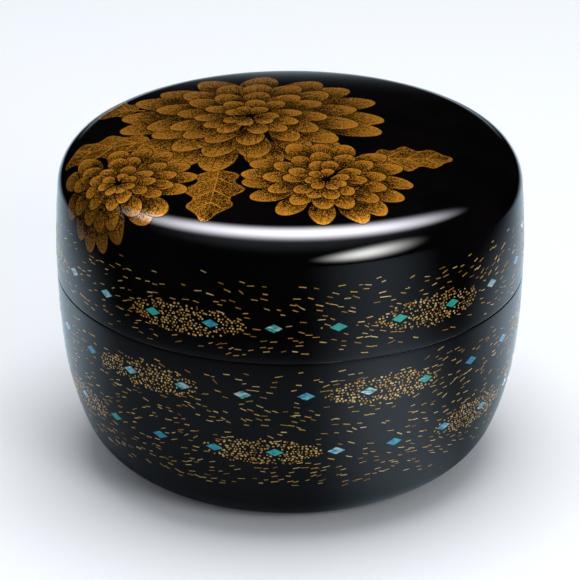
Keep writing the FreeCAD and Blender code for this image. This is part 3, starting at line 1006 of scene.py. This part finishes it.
@dataclass(frozen=True)
class LeafSpray:
    """Leaves between the blooms in thin powder, darker on one half, with veins of full gold."""

    name: str
    leaves: tuple[Leaf, ...]
    lift: float = 0.014
    grid: tuple[int, int] = (49, 33)
    lobes: int = 3
    lobe_depth: float = 0.2
    bright_half: float = 0.42
    dark_half: float = 0.24
    base_powder: float = 0.1
    edge_powder: float = 0.45
    edge_width: float = 0.35
    vein_starts: tuple[float, ...] = (0.16, 0.42, 0.66)
    vein_rise: float = 0.008
    vein_half: float = 0.17
    vein_points: int = 33
    vein_powder: float = 1.2

    def sizes(self) -> tuple[np.ndarray, np.ndarray]:
        """Half width and length of each leaf, ready to spread over rows and columns."""
        half, length = np.array([(leaf.half_width, leaf.length) for leaf in self.leaves]).T
        return half[:, None, None], length[:, None, None]

    def on_crown(self, flank: Flank, across: np.ndarray, along: np.ndarray, lift: float) -> np.ndarray:
        """Turn leaf offsets to each leaf's heading, bow them by the square of the way along, and lay them.

        Args:
            flank: Surface to follow.
            across: Offsets to the right of each leaf's midrib, by leaf, rows and columns.
            along: Offsets from each leaf's base towards its tip, in the same shape.
            lift: Height above the polished face.

        Returns:
            Points for each leaf, by rows and columns.
        """
        base, heading, length, bow = (np.array(each) for each in zip(
            *((leaf.base, math.radians(leaf.heading), leaf.length, leaf.bow) for leaf in self.leaves)))
        heading, length, bow = (each[:, None, None] for each in (heading, length, bow))
        across = across + bow * (along / length) ** 2
        east = base[:, 0, None, None] + along * np.cos(heading) + across * np.sin(heading)
        north = base[:, 1, None, None] + along * np.sin(heading) - across * np.cos(heading)
        return flank.lay_flat(east, north, lift)

    def blade(self, x: np.ndarray, y: np.ndarray) -> tuple[np.ndarray, np.ndarray]:
        """Draw a disc out into each lobed blade: a wave of lobes times a taper to the tip.

        Args:
            x: Across the unit disc.
            y: Along the unit disc, from base to tip.

        Returns:
            Millimetres across each blade, and along it from its base.
        """
        t = (y + 1) / 2
        half, length = self.sizes()
        lobed = (1 + self.lobe_depth * np.cos(self.lobes * FULL_TURN * (t - 0.08))) * (1.15 - 0.45 * t)
        return half * x * lobed, length * t * np.ones_like(half)

    def build(self, flank: Flank, powder: bpy.types.Material) -> None:
        """Make the blades, then midribs and side veins as narrow slabs that taper to their ends.

        Args:
            flank: Surface to follow.
            powder: Powder finish.
        """
        x, y = disc_grid(*self.grid)
        across, along = self.blade(x, y)
        turns = OUTLINE_TURNS[None, :]
        edge = np.stack(self.blade(np.cos(turns), np.sin(turns)), axis=-1)[:, 0]
        rim = rim_distance(np.stack([across, along], axis=-1), edge)
        points, quads = slabs(self.on_crown(flank, across, along, self.lift),
                              self.on_crown(flank, across, along, -ROOT_DEPTH))
        half = np.where(x > 0, self.bright_half, self.dark_half) + self.base_powder * (1 - (y + 1) / 2)
        lit = half + self.edge_powder * np.exp(-(rim / self.edge_width) ** 2)
        values = {"powder": both_faces(lit), "rim": both_faces(rim),
                  "stripe": both_faces(np.full(across.shape, NO_FURROW))}
        dress(write_mesh(f"{self.name}_blades", points, quads, values=values), powder, Ride.LID, Slot.GOLD)
        self.veins(flank, powder)

    def veins(self, flank: Flank, powder: bpy.types.Material) -> None:
        """Make the veins of each blade: the midrib, and pairs that leave it at an angle.

        A side vein is 0.6 as wide as the midrib, and goes 0.9 as far along the leaf as across it.

        Args:
            flank: Surface to follow.
            powder: Powder finish.
        """
        a, t = np.meshgrid([-1.0, 1.0], np.linspace(0, 1, self.vein_points))
        half, length = self.sizes()
        width = self.vein_half * (1 - 0.8 * t) * a
        shapes = [(width * np.ones_like(half), length * (0.93 * t - 0.12))]
        for begin in self.vein_starts:
            reach = 0.8 * half * (1.1 - 0.5 * begin) * t
            for side in (1, -1):
                shapes.append((side * reach + 0.6 * width,
                               length * begin + 0.9 * reach - side * 0.6 * width))
        top, bottom = (np.concatenate([self.on_crown(flank, *shape, lift) for shape in shapes])
                       for lift in (self.lift + self.vein_rise, -ROOT_DEPTH))
        points, quads = slabs(top, bottom)
        full = np.ones(len(points))
        values = {"powder": self.vein_powder * full, "rim": full, "stripe": NO_FURROW * full}
        dress(write_mesh(f"{self.name}_veins", points, quads, values=values), powder, Ride.LID, Slot.GOLD)


@dataclass(frozen=True)
class MistBand:
    """Row of lens-shaped clouds of gold grains round the side."""

    height: float
    half: float
    clouds: int
    turn: float

    def share(self, azimuth: np.ndarray, height: np.ndarray) -> np.ndarray:
        """How deep in a cloud a place is, from 0 outside to 1 in the middle.

        A cloud's half height follows the root of a sine wave round the side where that is above zero.

        Args:
            azimuth: Azimuth of each place.
            height: Height of each place.

        Returns:
            A share for each place.
        """
        wave = np.sin(self.clouds * (azimuth - math.radians(self.turn)))
        half = self.half * np.sqrt(np.clip(wave, 1e-4, 1))
        return smoothstep(1.1, 0.75, np.abs(height - self.height) / half)


@dataclass(frozen=True)
class GoldMist:
    """Gold foil on the sides: clouds of grains, and slivers that drift between them.

    Pitches, sizes and spares are millimetres, where a spare is the room kept round shell or blooms. A share
    says how many cells are filled, and jitter is a part of a cell.
    """

    name: str
    body: Ride
    bands: tuple[MistBand, ...]
    low: float
    high: float
    seed: int
    fade_low: float = 1.5
    fade_high: float = 4.0
    jitter: tuple[float, float] = (0.36, 0.3)
    sliver_pitch: tuple[float, float] = (1.5, 0.95)
    sliver_share: float = 0.47
    sliver_length: tuple[float, float] = (0.7, 1.3)
    sliver_width: tuple[float, float] = (0.10, 0.17)
    sliver_spare: float = 0.9
    bloom_spare: float = 0.8
    drift: float = 0.22
    stray: float = 0.16
    grain_pitch: tuple[float, float] = (0.62, 0.5)
    grain_share: float = 0.9
    grain_size: tuple[float, float] = (0.11, 0.20)
    grain_stretch: float = 1.15
    grain_spare: float = 0.45
    top_tone: float = 0.6

    def cells(self, pitch: tuple[float, float],
              random: np.random.Generator) -> tuple[np.ndarray, np.ndarray]:
        """Even places with a little chance: one in each cell of a staggered grid round the side.

        Args:
            pitch: Cell size across and upwards, in millimetres.
            random: Source of chance.

        Returns:
            Azimuth and height of each place.
        """
        columns = round(FULL_TURN * SIDE_RADIUS / pitch[0])
        rows = int((self.high - self.low) / pitch[1])
        row, column = np.divmod(np.arange(rows * columns), columns)
        aside, up = (random.uniform(-most, most, row.size) for most in self.jitter)
        azimuth = (column + 0.5 * (row % 2) + aside) / columns * FULL_TURN
        return azimuth, self.low + (row + 0.5 + up) * pitch[1]

    def cloud(self, azimuth: np.ndarray, height: np.ndarray) -> np.ndarray:
        """How deep each place is in any band's clouds, from 0 to 1."""
        return np.max([band.share(azimuth, height) for band in self.bands], axis=0)

    def clear(self, azimuth: np.ndarray, height: np.ndarray, rings: tuple[ShellRing, ...],
              spare: float) -> np.ndarray:
        """Say which places keep this much clear of every shell lozenge.

        Args:
            azimuth: Azimuth of each place.
            height: Height of each place.
            rings: Rings of lozenges.
            spare: Room to keep, in millimetres.

        Returns:
            True for each place that does.
        """
        kept = np.full(azimuth.shape, True)
        for ring in rings:
            off = (azimuth[:, None] - ring.azimuths + math.pi) % FULL_TURN - math.pi
            beside = np.abs(off).min(axis=1) * SIDE_RADIUS / (ring.width / 2 + spare)
            kept &= beside + np.abs(height - ring.height) / (ring.tall / 2 + spare) > 1
        return kept

    def build(self, flank: Flank, foil: bpy.types.Material, rings: tuple[ShellRing, ...],
              blooms: tuple[Bloom, ...] = ()) -> None:
        """Make the slivers as small bars and the grains as small discs, each a closed slab.

        Slivers tilt with a slow wave round the side, and each one a little by chance.

        Args:
            flank: Surface to follow.
            foil: Foil finish.
            rings: Shell rings to stay clear of.
            blooms: Blooms to stay clear of.
        """
        random = np.random.default_rng(self.seed)
        azimuth, height = self.cells(self.sliver_pitch, random)
        ends = (smoothstep(self.low, self.low + self.fade_low, height)
                * smoothstep(self.high, self.high - self.fade_high, height))
        share = self.sliver_share * (1 - self.cloud(azimuth, height)) * ends
        kept = random.random(azimuth.size) < share
        kept &= self.clear(azimuth, height, rings, self.sliver_spare)
        way = flank.way_at(height)
        for bloom in blooms:
            east = way * np.sin(azimuth) - bloom.centre[0]
            north = -way * np.cos(azimuth) - bloom.centre[1]
            kept &= np.hypot(east, north) > bloom.radius + self.bloom_spare
        azimuth, height = azimuth[kept], height[kept]
        length = random.uniform(*self.sliver_length, azimuth.size)[:, None, None]
        width = random.uniform(*self.sliver_width, azimuth.size)[:, None, None]
        drift = self.drift * np.sin(3 * azimuth + 0.25 * height + self.seed)
        tilt = (drift + random.normal(0, self.stray, azimuth.size))[:, None, None]
        a, b = np.meshgrid([-0.5, 0.5], [-0.5, 0.5])
        u, v = a * length, b * width
        self.lay(f"{self.name}_slivers", flank, foil, (azimuth, height),
                 (u * np.cos(tilt) - v * np.sin(tilt), u * np.sin(tilt) + v * np.cos(tilt)), random)
        azimuth, height = self.cells(self.grain_pitch, random)
        kept = random.random(azimuth.size) < self.grain_share * self.cloud(azimuth, height)
        kept &= self.clear(azimuth, height, rings, self.grain_spare)
        azimuth, height = azimuth[kept], height[kept]
        size = random.uniform(*self.grain_size, azimuth.size)[:, None, None]
        x, y = disc_grid(3, 3)
        self.lay(f"{self.name}_grains", flank, foil, (azimuth, height),
                 (x * size * self.grain_stretch, y * size), random)

    def lay(self, name: str, flank: Flank, foil: bpy.types.Material, places: tuple[np.ndarray, np.ndarray],
            shape: tuple[np.ndarray, np.ndarray], random: np.random.Generator) -> None:
        """Lay one kind of fleck on the surface.

        Args:
            name: Name of the new object.
            flank: Surface to follow.
            foil: Foil finish.
            places: Azimuth and height of each fleck.
            shape: Offsets across and upwards for each fleck.
            random: Source of chance for the flecks' tones.
        """
        azimuth, height = places
        way = flank.way_at(height)
        points, quads = slabs(flank.patch(way, azimuth, *shape, FLECK_LIFT),
                              flank.patch(way, azimuth, *shape, -ROOT_DEPTH))
        tones = random.uniform(0.0, self.top_tone, azimuth.size)[:, None, None]
        tone = both_faces(np.broadcast_to(tones, shape[0].shape))
        dress(write_mesh(name, points, quads, values={"tone": tone}), foil, self.body, Slot.GOLD)


@dataclass(frozen=True)
class CaddyBody:
    """Cup with its collar: wood core, coats of lacquer, two shell rings and the gold on the sides."""

    form: CaddyForm
    rings: tuple[ShellRing, ...] = (
        ShellRing("body_upper_shell_ring", "body_upper_shell_inlays", Ride.BODY, 28.5, 3.75, 11),
        ShellRing("body_lower_shell_ring", "body_lower_shell_inlays", Ride.BODY, 17.5, 11.25, 12))
    mist: GoldMist = GoldMist(
        "body_gold", Ride.BODY, (MistBand(28.5, 2.7, 6, 8.0), MistBand(17.5, 2.7, 6, 38.0)), 9.0, 34.1, 5)

    def outer_section(self) -> np.ndarray:
        """Section of the outer coat: up its face, in along the seam and back down the wood.

        Returns:
            Section points, one row each.
        """
        form = self.form
        ledge = form.seam_height - form.inner_coat
        wood = form.body_flank(form.coat, form.coat, ledge)[::-1]
        seam = np.array([[wood[0, 0], form.seam_height]])
        return np.vstack([form.body_flank(GOLD_ROOM, form.coat, None), seam, wood])

    def foot_section(self) -> np.ndarray:
        """Section of the coat under the foot, with both ends on the axis.

        Returns:
            Section points, one row each.
        """
        form = self.form
        tuck = form.tuck.inset(GOLD_ROOM)
        edge = tuck.run(tuck.angle(0), tuck.angle(form.coat), STEPS.foot_edge)
        under = np.linspace([0, 0], edge[0], STEPS.underside)[:-1]
        return np.vstack([under, edge, [[0, form.coat]]])

    def cup_section(self) -> np.ndarray:
        """Section of the inner coat: along the wood to the ledge, over the collar and down the cup.

        Returns:
            Section points, one row each.
        """
        form = self.form
        collar, mouth, seam = form.collar_radius, form.mouth_radius, form.seam_height
        top, behind, corner = seam + form.collar_height, form.inner_coat, form.edge_rounding
        ledge_end = form.side.inset(form.coat).reach(seam - behind)
        wood = [[mouth + behind, top - behind], [collar - behind, top - behind],
                [collar - behind, seam - behind], [ledge_end, seam - behind], [ledge_end, seam]]
        over = [[[collar, seam]],
                Arc(collar - corner, top - corner, corner).run(0, math.pi / 2, STEPS.edge),
                Arc(mouth + corner, top - corner, corner).run(math.pi / 2, math.pi, STEPS.edge)]
        wall = np.linspace([mouth, top - corner], form.cup_lining(0)[0], STEPS.cup_wall)[1:-1]
        return np.vstack([form.cup_lining(behind)[::-1], wood, *over, wall, form.cup_lining(0)])

    def build(self, flank: Flank, finishes: Finishes) -> None:
        """Make the coats, the shell and the gold of the body.

        Args:
            flank: Outside of the caddy.
            finishes: The made materials.
        """
        for name, section, node in (("body_polished_lacquer", self.outer_section(), "body_outer_lacquer"),
                                    ("cup_polished_lacquer", self.cup_section(), "body_inner_lacquer"),
                                    ("foot_polished_lacquer", self.foot_section(), "underside_lacquer")):
            dress(revolve(name, section), finishes.lacquer, Ride.BODY, Slot.LACQUER, node)
        for ring in self.rings:
            ring.build(flank, finishes.shell)
        self.mist.build(flank, finishes.foil, self.rings)


OPEN_ROUNDS = (Petals(0.36, 1.0, 17, 0.48), Petals(0.26, 0.79, 15, 0.42), Petals(0.17, 0.58, 13, 0.36),
               Petals(0.09, 0.39, 11, 0.25), Petals(0.03, 0.22, 7, 0.05))
SMALL_ROUNDS = (Petals(0.34, 1.0, 15, 0.44), Petals(0.22, 0.74, 13, 0.38), Petals(0.12, 0.49, 10, 0.26),
                Petals(0.04, 0.27, 7, 0.05))


@dataclass(frozen=True)
class CaddyLid:
    """Lid: wood core, coats of lacquer, a shell ring, gold blooms on the crown and gold on the sides."""

    form: CaddyForm
    rings: tuple[ShellRing, ...] = (
        ShellRing("lid_shell_ring", "lid_shell_inlays", Ride.LID, 41.0, 11.25, 13),)
    blooms: tuple[Bloom, ...] = (
        Bloom("lid_gold_large_bloom", (-7.0, 6.0), 24.0, OPEN_ROUNDS, 0.026, 31, (25, 13), 0.006),
        Bloom("lid_gold_front_bloom", (6.0, -21.0), 14.5, SMALL_ROUNDS, 0.046, 32),
        Bloom("lid_gold_shoulder_bloom", (-29.0, -19.0), 13.5, SMALL_ROUNDS, 0.046, 33))
    leaves: LeafSpray = LeafSpray("lid_gold_leaf", (
        Leaf((-12.0, -17.0), 266.0, 17.0, 4.6, 1.0), Leaf((14.0, -12.0), 4.0, 14.0, 4.4, -1.2),
        Leaf((-27.0, 13.0), 158.0, 12.0, 4.4, 1.2), Leaf((-24.0, -3.0), 186.0, 16.0, 4.8, -1.5)))
    mist: GoldMist = GoldMist("lid_gold", Ride.LID, (MistBand(41.0, 2.9, 6, 20.0),), 35.3, 50.5, 6)

    def outer_section(self) -> np.ndarray:
        """Section of the outer coat: down the wood from the axis, out along the seam and up its face.

        Returns:
            Section points, one row each.
        """
        form = self.form
        wood = form.lid_flank(form.coat, form.seam_height + form.inner_coat)[::-1]
        seam = np.array([[wood[-1, 0], form.seam_height]])
        return np.vstack([wood, seam, form.lid_flank(GOLD_ROOM, None)])

    def inner_section(self) -> np.ndarray:
        """Section of the inner coat: down its face from the axis, out along the seam and up the wood.

        Returns:
            Section points, one row each.
        """
        form = self.form
        bore, seam, behind, corner = form.bore_radius, form.seam_height, form.inner_coat, form.edge_rounding
        rim_end = form.side.inset(form.coat).reach(seam + behind)
        face = form.lid_lining(0)
        wall = np.linspace(face[-1], [bore, seam + corner], STEPS.bore)[1:-1]
        edge = Arc(bore + corner, seam + corner, corner).run(math.pi, 1.5 * math.pi, STEPS.edge)
        rim = [[rim_end, seam], [rim_end, seam + behind], [bore + behind, seam + behind]]
        return np.vstack([face, wall, edge, rim, form.lid_lining(behind)[::-1]])

    def build(self, flank: Flank, finishes: Finishes) -> None:
        """Make the coats, the shell and the gold of the lid.

        Args:
            flank: Outside of the caddy.
            finishes: The made materials.
        """
        for name, section, node in (("lid_polished_lacquer", self.outer_section(), "lid_outer_lacquer"),
                                    ("lid_lining_lacquer", self.inner_section(), "lid_inner_lacquer")):
            dress(revolve(name, section), finishes.lacquer, Ride.LID, Slot.LACQUER, node)
        for ring in self.rings:
            ring.build(flank, finishes.shell)
        for bloom in self.blooms:
            bloom.build(flank, finishes.powder)
        self.leaves.build(flank, finishes.powder)
        self.mist.build(flank, finishes.foil, self.rings, self.blooms)


@dataclass(frozen=True)
class Softbox:
    """Glowing cloth of a studio lamp, soft towards its rim, seen in the gloss alone."""

    name: str
    centre: tuple[float, float, float]
    half_width: float
    half_depth: float
    glow: float
    tint: str
    target: tuple[float, float, float]
    lean: float = 0.0
    bow: float = 0.0
    edge: float = 1.6
    fall: float = 1.6
    steps: int = 65

    def build(self) -> None:
        """Make the cloth as a grid square to the way to its target, bright by its distance from the middle.

        It falls back by lean times the half widths to the right, and by bow times their square.
        """
        centre = np.array(self.centre)
        facing = np.array(self.target) - centre
        facing /= np.linalg.norm(facing)
        right = np.array([1.0, 0.0, 0.0]) - facing[0] * facing
        right /= np.linalg.norm(right)
        forward = np.cross(facing, right)
        even = np.linspace(-self.edge, self.edge, self.steps)
        a, b = np.meshgrid(even, even)
        ahead = b * self.half_depth - a * self.lean - a * a * self.bow
        points = centre + a[..., None] * self.half_width * right + ahead[..., None] * forward
        bright = self.glow * smoothstep(self.edge, 0.0, np.hypot(a, b)) ** self.fall
        glow_cloth(self.name, points[:, ::-1], bright[:, ::-1], self.tint, sheer=True)


def gloss_only(thing: bpy.types.Object) -> None:
    """Let a piece of the stage show in reflections and nowhere else.

    Args:
        thing: Piece of the stage.
    """
    thing.visible_camera = False
    thing.visible_diffuse = False
    thing.visible_transmission = False
    thing.visible_shadow = False


def glow_cloth(name: str, points: np.ndarray, glow: np.ndarray, tint: str, sheer: bool = False) -> None:
    """Hang a grid of glowing cloth round the set, seen in the gloss alone.

    Args:
        name: Name of the cloth.
        points: Corners by rows and columns, in millimetres.
        glow: Brightness of each corner.
        tint: Colour of its light.
        sheer: True where what lies behind shows through.
    """
    cloth = write_mesh(name, points.reshape(-1, 3), grid_faces(*glow.shape), values={"glow": glow})
    material, tree = new_material(f"{name}_cloth")
    strength = add_node(tree, "ShaderNodeAttribute", attribute_name="glow")
    light = add_node(tree, "ShaderNodeEmission", {
        "Color": linear(tint), "Strength": strength.outputs["Fac"]})
    clear = linear("#FFFFFF" if sheer else "#000000")
    through = add_node(tree, "ShaderNodeBsdfTransparent", {"Color": clear})
    both = add_node(tree, "ShaderNodeAddShader", {0: light.outputs["Emission"], 1: through.outputs["BSDF"]})
    add_node(tree, "ShaderNodeOutputMaterial", {"Surface": both.outputs["Shader"]})
    cloth.data.materials.append(material)
    gloss_only(cloth)


def look_at(place: tuple[float, float, float], target: tuple[float, float, float]) -> Euler:
    """Turn of a lamp or camera that looks from its place at a target."""
    return (Vector(target) - Vector(place)).to_track_quat("-Z", "Y").to_euler()


@dataclass(frozen=True)
class Lamp:
    """Soft round lamp that lights the floor and the colours and isn't seen in the gloss."""

    name: str
    place: tuple[float, float, float]
    diameter: float
    watts: float

    def build(self, aim: tuple[float, float, float]) -> None:
        """Hang the lamp.

        Args:
            aim: Point that it looks at, in millimetres.
        """
        light = bpy.data.lights.new(self.name, "AREA")
        light.shape = "DISK"
        light.size = self.diameter * MM
        light.energy = self.watts
        lamp = bpy.data.objects.new(self.name, light)
        lamp.location = Vector(self.place) * MM
        lamp.rotation_euler = look_at(self.place, aim)
        lamp.visible_glossy = False
        lamp.visible_camera = False
        bpy.context.scene.collection.objects.link(lamp)


@dataclass(frozen=True)
class Studio:
    """Pale floor, soft lamps, the dark room that the gloss shows, and the camera at the photograph's angle.

    The overhead softbox is long and hangs high. The front right one is a small card close to the shoulder,
    where it gives its glint and stays out of the crown in views from behind.
    """

    eye: tuple[float, float, float] = (0.0, -505.9, 260.76)
    aim: tuple[float, float, float] = (-0.03, 0.0, 29.3)
    lens: float = 195.24
    paper: str = "#F3F6FA"
    cool: str = "#DBEEF9"
    fill: str = "#F6F9FF"
    thread: str = "#020202"
    floor_half: float = 1600.0
    gauze_height: float = 0.3
    gauze_steps: int = 161
    dome_steps: tuple[int, int] = (129, 41)
    ambient: float = 0.42
    softboxes: tuple[Softbox, ...] = (
        Softbox("overhead_softbox", (22.0, -42.0, 260.0), 241.0, 75.0, 29.0, "#F5F3FF",
                (22.0, -42.0, 0.0), 0.0, 52.0),
        Softbox("front_right_softbox", (17.0, -43.9, 55.8), 10.2, 3.1, 20.0, "#FCFDF8",
                (12.4, -37.9, 53.2), 2.4))
    lamps: tuple[Lamp, ...] = (Lamp("overhead_lamp", (36.0, 30.0, 720.0), 540.0, 3.7),
                               Lamp("front_right_lamp", (447.0, -613.0, 420.0), 360.0, 1.9))

    def floor(self) -> None:
        """Make the floor: a plain sheet of pale paper."""
        half = self.floor_half
        points = np.array([[-half, -half, 0], [half, -half, 0], [half, half, 0], [-half, half, 0]])
        sheet = write_mesh("studio_floor", points, np.array([[0, 1, 2, 3]]))
        material, tree = new_material("pale_studio_paper")
        shader = add_node(tree, "ShaderNodeBsdfPrincipled", {
            "Base Color": linear(self.paper), "Roughness": 0.9, "Specular IOR Level": 0.1})
        add_node(tree, "ShaderNodeOutputMaterial", {"Surface": shader.outputs["BSDF"]})
        sheet.data.materials.append(material)

    def gauze(self) -> None:
        """Lay dark gauze over the floor beside and in front of the set, seen in the gloss alone.

        It is clear behind the caddy except close to it, thin to the right front and all round close to the
        foot, and dense elsewhere. Limits are millimetres from the axis, and degrees for the turn.
        """
        even = np.linspace(-1, 1, self.gauze_steps)
        spread = self.floor_half * even * np.abs(even)
        x, y = np.meshgrid(spread, spread)
        reach = np.hypot(x, y)
        turn = np.arctan2(x, -y)
        close = smoothstep(42, 20, np.abs(x)) * smoothstep(175, 130, y)
        behind = smoothstep(-32, 45, y) * smoothstep(172, 75, np.abs(x)) * (1 - 0.8 * close)
        right = smoothstep(math.radians(34), 0, np.abs(turn - math.radians(38)))
        near = smoothstep(130, 75, reach)
        far = smoothstep(1100, 250, reach)
        clear = np.clip(behind + right * (0.5 * far + 0.4 * near) + 0.18 * near, 0, 1)
        points = np.stack([x, y, np.full(x.shape, self.gauze_height)], axis=-1).reshape(-1, 3)
        cloth = write_mesh("studio_gauze", points, grid_faces(*x.shape), values={"dense": 1 - clear})
        material, tree = new_material("black_gauze")
        dense = add_node(tree, "ShaderNodeAttribute", attribute_name="dense")
        gap = add_node(tree, "ShaderNodeBsdfTransparent", {"Color": linear(self.cool)})
        thread = add_node(tree, "ShaderNodeBsdfDiffuse", {"Color": linear(self.thread)})
        mixed = add_node(tree, "ShaderNodeMixShader", {
            "Fac": dense.outputs["Fac"], 1: gap.outputs["BSDF"], 2: thread.outputs["BSDF"]})
        add_node(tree, "ShaderNodeOutputMaterial", {"Surface": mixed.outputs["Shader"]})
        cloth.data.materials.append(material)
        gloss_only(cloth)

    def dark_room(self) -> None:
        """Stand a dome of black cloth round the set, with a low strip of pale backdrop behind it.

        The strip is full up to 5 degrees above the floor and fades above that by a falling exponential. A
        faint glow from the overhead softbox lies high on the cloth in front. Limits are degrees.
        """
        round_steps, rise_steps = self.dome_steps
        turn, rise = np.meshgrid(np.linspace(-math.pi, math.pi, round_steps),
                                 np.linspace(0, 1, rise_steps) ** 2 * math.pi / 2)
        out, high = self.floor_half * np.cos(rise), self.floor_half * np.sin(rise)
        points = np.stack([out * np.sin(turn), -out * np.cos(turn), high], axis=-1)
        aside, rise = np.degrees(np.abs(turn)), np.degrees(rise)
        strip = np.exp(-np.clip(rise - 5, 0, None) / 1.3) * smoothstep(160, 172, aside)
        front = smoothstep(28, 65, rise) * smoothstep(115, 50, aside)
        glow_cloth("studio_dark_room", points, 0.001 + 0.9 * strip + 0.45 * front, self.cool)

    def world(self) -> None:
        """Make the room: white where camera, gloss or glass look into it, faint fill on what it lights."""
        world = bpy.data.worlds.new("studio_room")
        world.use_nodes = True
        tree = world.node_tree
        tree.nodes.clear()
        path = add_node(tree, "ShaderNodeLightPath")
        straight = add_node(tree, "ShaderNodeMath", {
            0: path.outputs["Is Camera Ray"], 1: path.outputs["Is Glossy Ray"]}, operation="MAXIMUM")
        looked = add_node(tree, "ShaderNodeMath", {
            0: straight.outputs[0], 1: path.outputs["Is Transmission Ray"]}, operation="MAXIMUM")
        fill = add_node(tree, "ShaderNodeBackground", {
            "Color": linear(self.fill), "Strength": self.ambient})
        white = add_node(tree, "ShaderNodeBackground", {"Color": linear(self.paper), "Strength": 1.0})
        mixed = add_node(tree, "ShaderNodeMixShader", {
            "Fac": looked.outputs[0], 1: fill.outputs["Background"], 2: white.outputs["Background"]})
        add_node(tree, "ShaderNodeOutputWorld", {"Surface": mixed.outputs["Shader"]})
        bpy.context.scene.world = world

    def camera(self) -> None:
        """Set the camera where the photograph was taken from."""
        data = bpy.data.cameras.new("studio_camera")
        data.lens = self.lens
        data.sensor_width = 36.0
        data.clip_start = 0.02
        data.clip_end = 20.0
        camera = bpy.data.objects.new("studio_camera", data)
        camera.location = Vector(self.eye) * MM
        camera.rotation_euler = look_at(self.eye, self.aim)
        bpy.context.scene.collection.objects.link(camera)
        bpy.context.scene.camera = camera

    def build(self) -> None:
        """Set up the floor, the lamps, the room and the camera."""
        bpy.context.scene.view_settings.view_transform = "Standard"
        self.floor()
        self.gauze()
        self.dark_room()
        for softbox in self.softboxes:
            softbox.build()
        for lamp in self.lamps:
            lamp.build(self.aim)
        self.world()
        self.camera()


def main() -> None:
    """Build the studio and the caddy, piece by piece."""
    logging.basicConfig(level=logging.INFO, format="%(name)s: %(message)s")
    Studio().build()
    form = CaddyForm()
    flank = Flank(form)
    finishes = Finishes(BlackLacquer().material(), GoldPowder().material(), GoldFoil().material(),
                        MotherOfPearl().material(), TurnedWood().material())
    for node in ("body_core", "lid_core"):
        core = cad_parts[node]
        core.data.materials.clear()
        core.data.materials.append(finishes.wood)
        LOG.info("%s: CAD node in turned wood", node)
    CaddyBody(form).build(flank, finishes)
    CaddyLid(form).build(flank, finishes)


if __name__ == "__main__":
    main()
